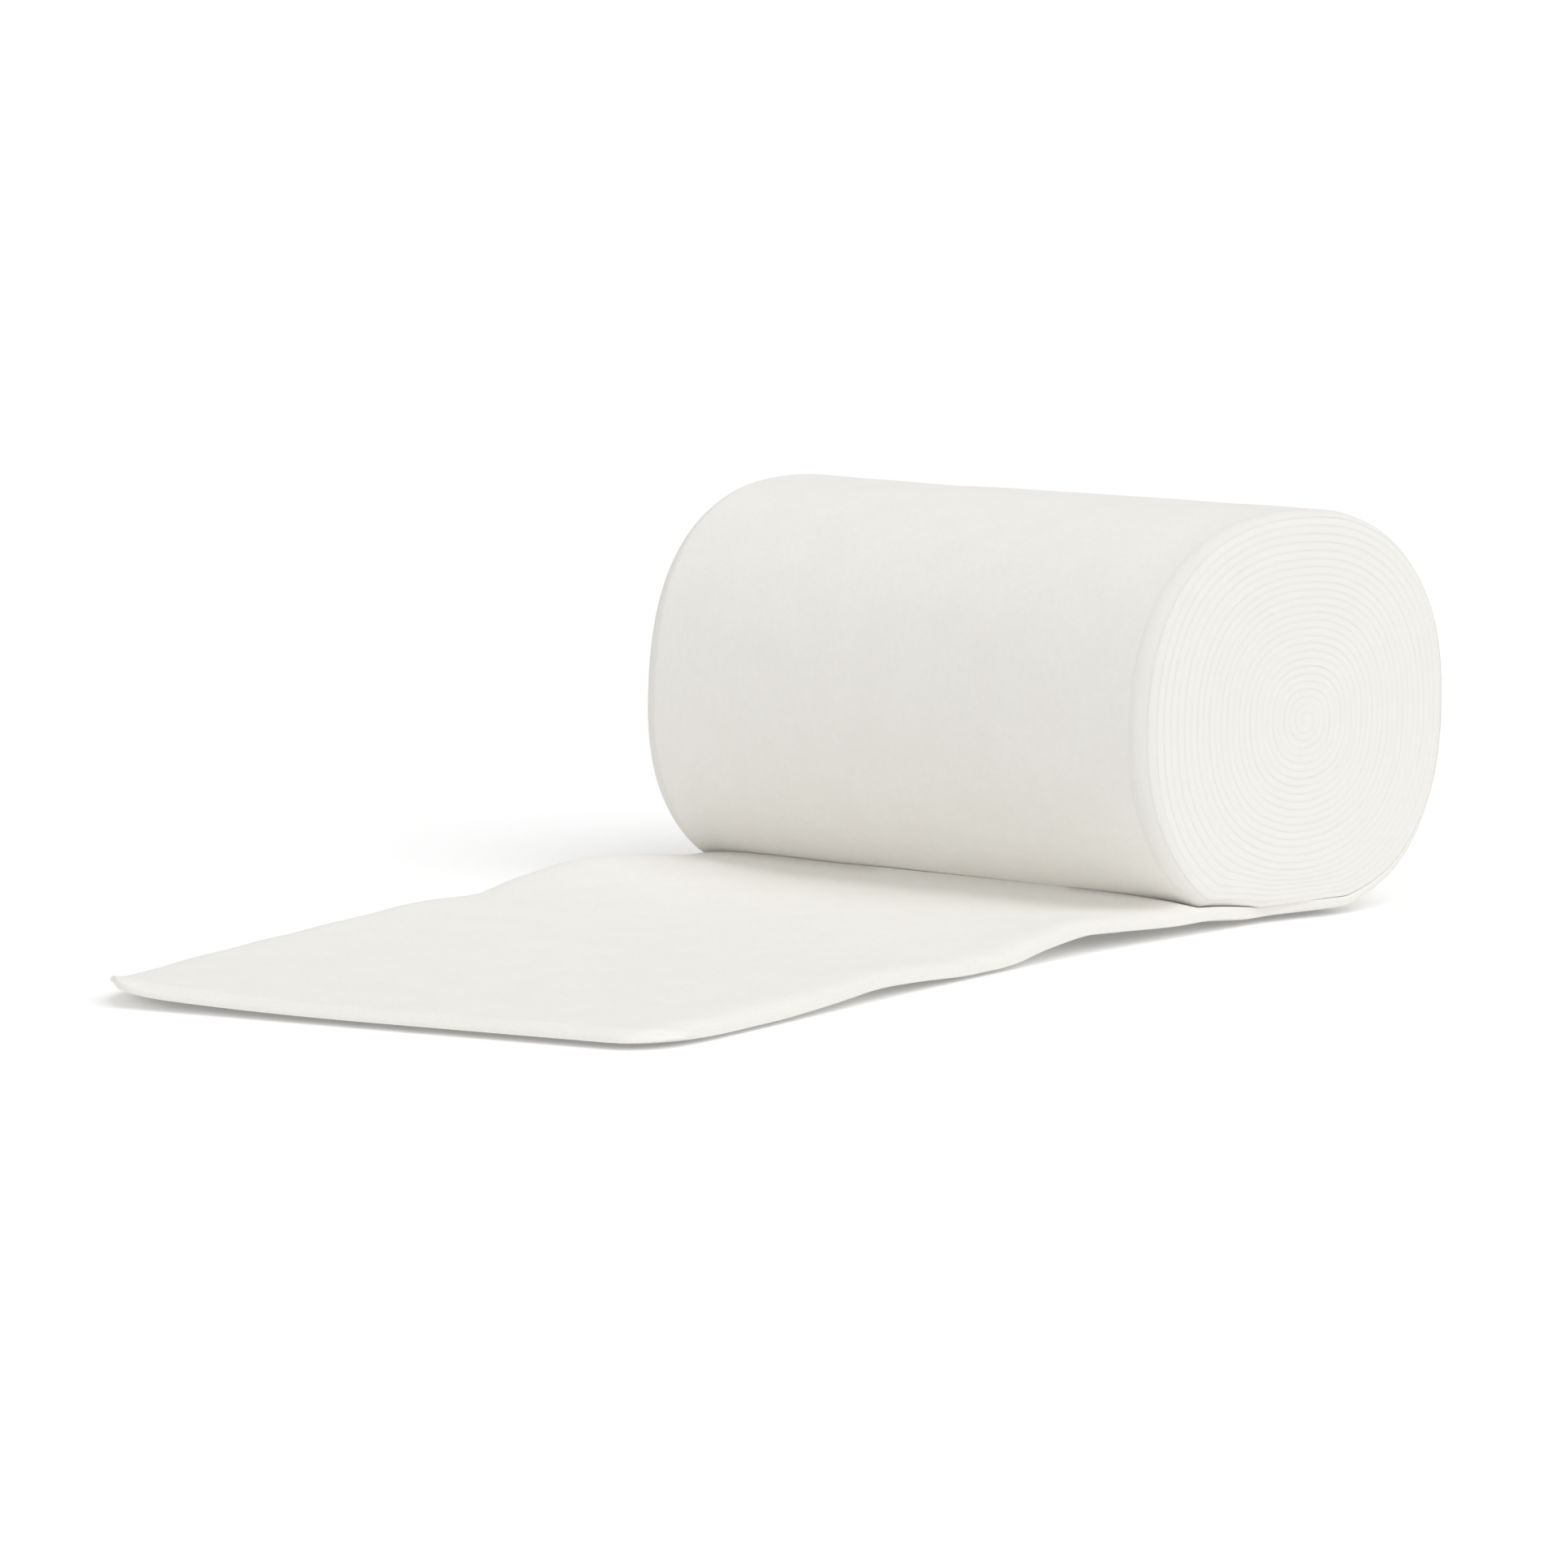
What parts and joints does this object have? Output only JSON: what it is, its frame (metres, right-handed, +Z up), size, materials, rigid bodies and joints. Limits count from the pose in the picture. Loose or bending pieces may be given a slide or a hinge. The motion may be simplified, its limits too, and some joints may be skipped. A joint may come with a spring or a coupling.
{
  "type": "padding bandage roll",
  "caption": "Soft white padding bandage wound into a slightly squashed roll on its side, with its end drawn out from under it and lying loose.",
  "frame": {"origin": "middle of the whole bandage's box, on the surface that it lies on", "axes": "+X along the roll's axis towards the end that stands a little slanted, -Y the way the loose end is drawn out, +Z up"},
  "size_m": [0.1126, 0.2086, 0.061],
  "materials": {
    "padding": "matt, soft, fibrous warm white padding"
  },
  "bodies": {
    "root": {"wound_roll": "padding", "loose_end": "padding"}
  },
  "joints": []
}
